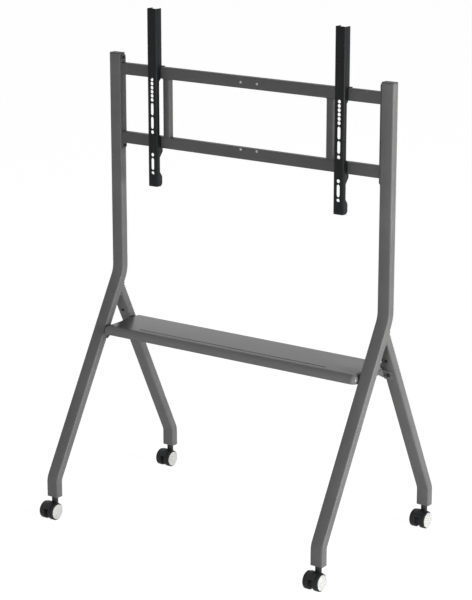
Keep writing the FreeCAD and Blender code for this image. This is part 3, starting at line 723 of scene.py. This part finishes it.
def thinStrap(piece, low):
    # the strap over the rail is thinner than the upright part of the hook
    lowest, highest = hooks["strapReach"]
    pick(piece, "verts", lambda vertex, middle: middle.y > low.y + hooks["strapFromFace"]
         and railTop + lowest < middle.z < railTop + highest)
    shift((0, 0, -hooks["strapThinning"]))


for side in sides:
    body = "screen_arm_" + side
    channel = mergedCopy("arm_" + side, "slottedChannel" + side.title())
    reshapeChannel(channel, *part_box("arm_" + side))
    breakEdges(channel, arms["edge"], arms["edgeTurn"])
    finishPiece(channel, body, "armCoat", ["arm_" + side], arms["edgeTurn"])
    hook = mergedCopy("arm_hook_" + side, "railHook" + side.title())
    thinStrap(hook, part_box("arm_hook_" + side)[0])
    breakEdges(hook, hooks["edge"])
    finishPiece(hook, body, "armCoat", ["arm_hook_" + side])
    grip = mergedCopy("arm_grip_" + side, "ribbedGrip" + side.title())
    breakEdges(grip, gripEdge)
    finishPiece(grip, body, "grip", ["arm_grip_" + side])
print("arms made")

# ---- screws with a pan head and a hexagon recess
screws = {
    "headRound": 0.0017, "headSegments": 5, "headHeight": 0.0034, "headSides": 32,
    "recess": 0.0021, "recessSides": 6, "recessDepth": 0.0018, "shankRadius": 0.003,
    "shank": 0.010,
    # through the end plates
    "boltHead": 0.0043, "boltInset": 0.0095,
    # through the tabs of the shelf brackets
    "tabHead": 0.0055, "tabInset": 0.0143, "tabSheet": 0.002, "tabDrop": 0.044,
    "tabLength": 0.032,
    # high on the rear legs
    "legHead": 0.0044, "legHeadLevel": 0.5558,
}


def panHead(name, radius, place, direction):
    # the head stands on its place, and the direction points into the metal
    turn = Vector((0, 0, -1)).rotation_difference(direction)
    piece = startPiece(name, bpy.ops.mesh.primitive_cylinder_add, vertices=screws["headSides"],
                       radius=radius, depth=screws["headHeight"],
                       location=(0, 0, screws["headHeight"] / 2))
    pick(piece, "faces", lambda face, middle: face.normal.z > facing)
    bpy.ops.mesh.bevel(offset=screws["headRound"], segments=screws["headSegments"],
                       affect="EDGES")
    pick(piece, "faces", lambda face, middle: face.normal.z < -facing)
    bpy.ops.mesh.inset(thickness=radius - screws["shankRadius"], depth=0)
    extrude((0, 0, -screws["shank"]))
    closeUp(piece)
    socket = startPiece("socketCutter", bpy.ops.mesh.primitive_cylinder_add,
                        vertices=screws["recessSides"], radius=screws["recess"],
                        depth=2 * screws["recessDepth"], location=(0, 0, screws["headHeight"]))
    cutAway(piece, socket)
    piece.rotation_mode = "QUATERNION"
    piece.rotation_quaternion = turn
    piece.location = place
    bpy.ops.object.select_all(action="DESELECT")
    piece.select_set(True)
    bpy.context.view_layer.objects.active = piece
    bpy.ops.object.transform_apply(location=True, rotation=True, scale=True)
    return piece


plateLow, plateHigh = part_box("end_plate_right")
boltHeads = []
for sign in sides.values():
    for z in (plateHigh.z - screws["boltInset"], plateLow.z + screws["boltInset"]):
        boltHeads.append(panHead("boltHead", screws["boltHead"],
                                 (sign * plateLow.x, uprightY, z), Vector((sign, 0, 0))))
finishPiece(joinPieces("plateBoltHeads", boltHeads), "frame", "blackZinc",
            ["plate_bolts"])
tabHeads = []
tabLevel = trayHigh.z - screws["tabDrop"]
for top, run, outward in ((frontLeg[1], frontRun, frontBackFace),
                          (branch, rearRun, rearFrontFace)):
    base = top + outward * halfTube
    tabEnd = base + run * ((tabLevel - base.z) / run.z)
    spot = tabEnd - run * (screws["tabLength"] / 2) + outward * screws["tabSheet"]
    for sign in sides.values():
        place = Vector((sign * (innerX + screws["tabInset"]), spot.y, spot.z))
        tabHeads.append(panHead("tabHead", screws["tabHead"], place, -outward))
finishPiece(joinPieces("bracketScrewHeads", tabHeads), "frame", "blackZinc",
            ["shelf_screws"])
legHeads = []
rearFace = branch + rearFrontFace * halfTube
spot = rearFace + rearRun * ((screws["legHeadLevel"] - rearFace.z) / rearRun.z)
for sign in sides.values():
    legHeads.append(panHead("legHead", screws["legHead"],
                            Vector((sign * frameX, spot.y, spot.z)), -rearFrontFace))
finishPiece(joinPieces("rearLegScrewHeads", legHeads), "frame", "blackZinc")
print("screws set")

# ---- castors: one set is modelled under the right front foot and copied to the others
roundSides, smallSides = 64, 48
wheelShape = {
    "edge": 0.003, "edgeSegments": 5, "web": 0.003, "rim": 0.0052,
    "hubRadius": 0.0065, "hubSunk": 0.005, "innerDish": 0.0008,
}
wheelLow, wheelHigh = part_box("castor_wheel_a_front_right")
wheelRadius = (wheelHigh.z - wheelLow.z) / 2
axle = Vector((frameX, (wheelLow.y + wheelHigh.y) / 2, wheelRadius))
acrossTurn = (0, math.radians(90), 0)


def makeWheel():
    width = wheelHigh.x - wheelLow.x
    piece = startPiece("wheelA", bpy.ops.mesh.primitive_cylinder_add, vertices=roundSides,
                       radius=wheelRadius, depth=width, rotation=acrossTurn,
                       location=((wheelLow.x + wheelHigh.x) / 2, axle.y, axle.z))
    pick(piece, "faces", lambda face, middle: abs(face.normal.x) > facing)
    bpy.ops.mesh.bevel(offset=wheelShape["edge"], segments=wheelShape["edgeSegments"],
                       affect="EDGES")
    # dished outer side with a hub, which the hubcap covers
    pick(piece, "faces", lambda face, middle: face.normal.x > squarely
         and (middle - axle).yz.length < wheelRadius / 2)
    bpy.ops.mesh.inset(thickness=wheelShape["rim"] - wheelShape["edge"], depth=0)
    extrude((wheelShape["web"] - width, 0, 0))
    bpy.ops.mesh.inset(thickness=wheelRadius - wheelShape["rim"] - wheelShape["hubRadius"],
                       depth=0)
    extrude((width - wheelShape["web"] - wheelShape["hubSunk"], 0, 0))
    # shallow dish on the inner side
    pick(piece, "faces", lambda face, middle: face.normal.x < -squarely
         and (middle - axle).yz.length < wheelRadius / 2)
    bpy.ops.mesh.inset(thickness=wheelShape["rim"], depth=0)
    extrude((wheelShape["innerDish"], 0, 0))
    closeUp(piece)
    return piece


hubcapShape = {
    "shrink": 0.95, "edge": 0.0006, "edgeSegments": 4, "rim": 0.0030, "groove": 0.0007,
    "grooveRise": 0.00042, "flatShare": 0.72, "boss": 0.0055, "stepWidth": 0.0008,
    "step": 0.0004, "bossRing": 0.0012, "plugGap": 0.0002,
}
capLow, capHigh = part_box("hubcap_a_front_right")


def makeHubcap():
    radius = (capHigh.z - capLow.z) / 2 * hubcapShape["shrink"]
    thick = capHigh.x - wheelHigh.x
    piece = startPiece("hubcapA", bpy.ops.mesh.primitive_cylinder_add, vertices=roundSides,
                       radius=radius, depth=thick, rotation=acrossTurn,
                       location=(wheelHigh.x + thick / 2, axle.y, axle.z))
    pick(piece, "faces", lambda face, middle: face.normal.x > facing)
    bpy.ops.mesh.bevel(offset=hubcapShape["edge"], segments=hubcapShape["edgeSegments"],
                       affect="EDGES")
    # from the rim inwards: a groove, a flat ring, a step down and the boss
    pick(piece, "faces", lambda face, middle: face.normal.x > squarely
         and (middle - axle).yz.length < radius / 2)
    for width, rise in (
            (hubcapShape["rim"], 0),
            (hubcapShape["groove"], -hubcapShape["groove"]),
            (hubcapShape["groove"], hubcapShape["grooveRise"]),
            (radius * hubcapShape["flatShare"] - hubcapShape["boss"], 0),
            (hubcapShape["stepWidth"], -hubcapShape["step"]),
            (hubcapShape["bossRing"], 0)):
        bpy.ops.mesh.inset(thickness=width, depth=rise)
    # plug on the back, which fits inside the rim of the wheel
    pick(piece, "faces", lambda face, middle: face.normal.x < -facing)
    plugRadius = wheelRadius - wheelShape["rim"] - hubcapShape["plugGap"]
    bpy.ops.mesh.inset(thickness=radius - plugRadius, depth=0)
    extrude((capLow.x - wheelHigh.x, 0, 0))
    closeUp(piece)
    return piece


hoodShape = {
    "width": 0.029, "thick": 0.0011, "gap": 0.0006, "corner": 0.0009, "cornerSegments": 3,
    "rear": -12.0, "front": 156.0, "steps": 24,  # degrees round the axle
    "forkGap": 0.0006, "discRadius": 0.0232,
    "neckRadius": 0.0092, "neckEdge": 0.0008, "neckSegments": 3, "neckGap": 0.0007,
    "wheelRoom": 0.02,
}


def makeHoodedBody():
    # a fork plate between the wheels under a curved hood, with a neck for the stem
    radius = wheelRadius + hoodShape["gap"] + hoodShape["thick"] / 2
    start = math.radians(hoodShape["rear"])
    sweep = math.radians(hoodShape["front"] - hoodShape["rear"])
    place = axle + Vector((0, radius * math.cos(start), radius * math.sin(start)))
    hood = startSection("castorHood", (hoodShape["width"], hoodShape["thick"]),
                        hoodShape["corner"], hoodShape["cornerSegments"], place, (start, 0, 0))
    bpy.ops.mesh.spin(steps=hoodShape["steps"], angle=-sweep, center=axle, axis=(1, 0, 0))
    closeUp(hood)
    forkHalf = wheelLow.x - frameX - hoodShape["forkGap"]
    web = startPiece("forkPlate", bpy.ops.mesh.primitive_circle_add, vertices=roundSides,
                     radius=radius, fill_type="NGON", rotation=acrossTurn,
                     location=axle - Vector((forkHalf, 0, 0)))
    extrude((2 * forkHalf, 0, 0))
    # the fork plate ends where the hood ends, and a disc round the axle fills up the rest
    for angle, turn in ((start, 1), (start + sweep, -1)):
        bpy.ops.mesh.select_all(action="SELECT")
        normal = Vector((0, -math.sin(angle), math.cos(angle))) * turn
        bpy.ops.mesh.bisect(plane_co=axle, plane_no=normal, use_fill=True, clear_inner=True)
    closeUp(web)
    boss = startPiece("axleBoss", bpy.ops.mesh.primitive_cylinder_add, vertices=smallSides,
                      radius=hoodShape["discRadius"], depth=2 * forkHalf, location=axle,
                      rotation=acrossTurn)
    closeUp(boss)
    # the neck reaches up to the foot and hides the collar of the stem
    stemLow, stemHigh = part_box("castor_stem_front_right")
    neckHeight = footHeight - hoodShape["neckGap"] - wheelRadius
    neck = startPiece("castorNeck", bpy.ops.mesh.primitive_cylinder_add, vertices=smallSides,
                      radius=hoodShape["neckRadius"], depth=neckHeight,
                      location=(frameX, (stemLow.y + stemHigh.y) / 2,
                                wheelRadius + neckHeight / 2))
    pick(neck, "faces", lambda face, middle: face.normal.z > facing)
    bpy.ops.mesh.bevel(offset=hoodShape["neckEdge"], segments=hoodShape["neckSegments"],
                       affect="EDGES")
    closeUp(neck)
    for sign in (-1, 1):
        outward = Vector((sign * (forkHalf + hoodShape["wheelRoom"] / 2), 0, 0))
        wheelRoom = startPiece("wheelRoom", bpy.ops.mesh.primitive_cylinder_add,
                               vertices=roundSides, radius=radius, rotation=acrossTurn,
                               depth=hoodShape["wheelRoom"], location=axle + outward)
        cutAway(neck, wheelRoom)
    for other in (web, boss):
        useModifier(hood, "BOOLEAN", object=other, operation="UNION", solver="EXACT")
        bpy.data.objects.remove(other)
    return joinPieces("castorHood", [hood, neck])


wheelA = makeWheel()
hubcapA = makeHubcap()
wheelB = copyPiece(wheelA, "wheelB", mirrorAt=frameX)
hubcapB = copyPiece(hubcapA, "hubcapB", mirrorAt=frameX)
hooded = makeHoodedBody()
castorParts = [
    (wheelA, "wheel_a_", "castor_wheel_a_", "castor_tread", "tread"),
    (wheelB, "wheel_b_", "castor_wheel_b_", "castor_tread", "tread"),
    (hubcapA, "wheel_a_", "hubcap_a_", "hubcap_grey", "hubcap"),
    (hubcapB, "wheel_b_", "hubcap_b_", "hubcap_grey", "hubcap"),
    (hooded, "castor_", "castor_body_", "castor_nylon", "nylon"),
]
castorSmoothAngle = 40
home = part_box("castor_body_front_right")[0]
for model, body, node, slot, finish in castorParts:
    for row in ("front", "rear"):
        for side in sides:
            spot = row + "_" + side
            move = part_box("castor_body_" + spot)[0] - home
            piece = copyPiece(model, "moulded_" + node + spot, move)
            finishPiece(piece, body + spot, finish, [node + spot], castorSmoothAngle)
    bpy.data.objects.remove(model)
print("castors made")

# ---- floor, world and lamps
stageLook = {
    "floorSize": 60.0, "floorColour": "#F4F4F2", "cameraGlow": 0.96, "floorShare": 0.24,
    # strength of the light low down and high up, and the heights between which it fades
    "ambient": (0.70, 0.03), "ambientTop": (-0.1, 0.65), "ambientColour": "#FFFFFF",
    # heights between which the white backdrop dims a little, up to the ceiling's share of it
    "backdropTop": (0.40, 0.95), "ceiling": 0.9,
}
lampLooks = {
    # place, size in metres, watts; each lamp points at the middle of the stand
    "keyRight": {"place": (5.2, -0.3, 1.1), "size": 2.0, "watts": 258},
    "fillFront": {"place": (1.6, -6.0, 0.5), "size": 1.0, "watts": 78},
}
standMiddle = (cadLow + cadHigh) / 2


def makeWorld(look):
    world = bpy.data.worlds.new("studioWorld")
    scene.world = world
    world.use_nodes = True
    tree = world.node_tree
    tree.nodes.clear()
    path = addNode(tree, "ShaderNodeLightPath")
    seen = addNode(tree, "ShaderNodeMath", {"operation": "MAXIMUM"}, None,
                   {0: path.outputs["Is Camera Ray"], 1: path.outputs["Is Glossy Ray"]})
    seenThrough = addNode(tree, "ShaderNodeMath", {"operation": "MAXIMUM"}, None,
                          {0: seen.outputs[0], 1: path.outputs["Is Transmission Ray"]})
    # the walls light the stand more than the ceiling does; heights run from 0 level to 1 up
    place = addNode(tree, "ShaderNodeTexCoord").outputs["Generated"]
    height = addNode(tree, "ShaderNodeSeparateXYZ", None, None, {"Vector": place}).outputs["Z"]
    wallLight = addNode(tree, "ShaderNodeMapRange", None,
                        {"From Min": look["ambientTop"][0], "From Max": look["ambientTop"][1],
                         "To Min": look["ambient"][0], "To Max": look["ambient"][1]},
                        {"Value": height})
    light = addNode(tree, "ShaderNodeBackground", None,
                    {"Color": hexColour(look["ambientColour"])},
                    {"Strength": wallLight.outputs["Result"]})
    # the camera sees a white backdrop; reflections show it a little dimmer near the ceiling
    fade = addNode(tree, "ShaderNodeMapRange", {"interpolation_type": "SMOOTHSTEP"},
                   {"From Min": look["backdropTop"][0], "From Max": look["backdropTop"][1],
                    "To Min": 1.0, "To Max": look["ceiling"]}, {"Value": height})
    shownWhite = addNode(tree, "ShaderNodeMath", {"operation": "MAXIMUM"}, None,
                         {0: fade.outputs["Result"], 1: path.outputs["Is Camera Ray"]})
    backdrop = addNode(tree, "ShaderNodeBackground", None, {"Color": (1, 1, 1, 1)},
                       {"Strength": shownWhite.outputs[0]})
    mixed = addNode(tree, "ShaderNodeMixShader", None, None,
                    {0: seenThrough.outputs[0], 1: light.outputs[0], 2: backdrop.outputs[0]})
    addNode(tree, "ShaderNodeOutputWorld", None, None, {"Surface": mixed.outputs[0]})


def makeFloor(look):
    setMode("OBJECT")
    bpy.ops.mesh.primitive_plane_add(size=look["floorSize"], location=(0, 0, 0))
    floor = bpy.context.object
    floor.name = "studioFloor"
    # the camera and reflections see near white with faint shadows; other light meets pale paper
    material = bpy.data.materials.new("paleStudioFloor")
    material.use_nodes = True
    tree = material.node_tree
    tree.nodes.clear()
    path = addNode(tree, "ShaderNodeLightPath")
    seen = addNode(tree, "ShaderNodeMath", {"operation": "MAXIMUM"}, None,
                   {0: path.outputs["Is Camera Ray"], 1: path.outputs["Is Glossy Ray"]})
    paper = addNode(tree, "ShaderNodeBsdfDiffuse", None,
                    {"Color": hexColour(look["floorColour"])})
    glow = addNode(tree, "ShaderNodeEmission", None,
                   {"Color": (1, 1, 1, 1), "Strength": look["cameraGlow"]})
    dimPaper = addNode(tree, "ShaderNodeBsdfDiffuse", None,
                       {"Color": (look["floorShare"],) * 3 + (1,)})
    shown = addNode(tree, "ShaderNodeAddShader", None, None,
                    {0: glow.outputs[0], 1: dimPaper.outputs[0]})
    mixed = addNode(tree, "ShaderNodeMixShader", None, None,
                    {0: seen.outputs[0], 1: paper.outputs[0], 2: shown.outputs[0]})
    addNode(tree, "ShaderNodeOutputMaterial", None, None, {"Surface": mixed.outputs[0]})
    floor.data.materials.append(material)


def pointAt(thing, target):
    thing.rotation_mode = "QUATERNION"
    thing.rotation_quaternion = (Vector(target) - thing.location).to_track_quat("-Z", "Y")


makeWorld(stageLook)
makeFloor(stageLook)
for lampName, look in lampLooks.items():
    lamp = bpy.data.objects.new(lampName, bpy.data.lights.new(lampName, "AREA"))
    scene.collection.objects.link(lamp)
    lamp.data.shape = "DISK"
    lamp.data.size = look["size"]
    lamp.data.energy = look["watts"]
    lamp.location = look["place"]
    pointAt(lamp, standMiddle)
print("stage lit")

# ---- camera, at the viewing angle of the photograph
cameraLook = {
    "place": (3.3202, -4.7265, 2.2580), "target": (-0.0344, 0.0519, 0.6575),
    "lens": 126.295, "sensor": 36.0, "clip": (0.1, 100.0),
}
camera = bpy.data.objects.new("camera", bpy.data.cameras.new("camera"))
scene.collection.objects.link(camera)
camera.data.lens = cameraLook["lens"]
camera.data.sensor_width = cameraLook["sensor"]
camera.data.clip_start, camera.data.clip_end = cameraLook["clip"]
camera.location = cameraLook["place"]
pointAt(camera, cameraLook["target"])
scene.camera = camera
scene.view_settings.view_transform = "Standard"
print("camera placed")
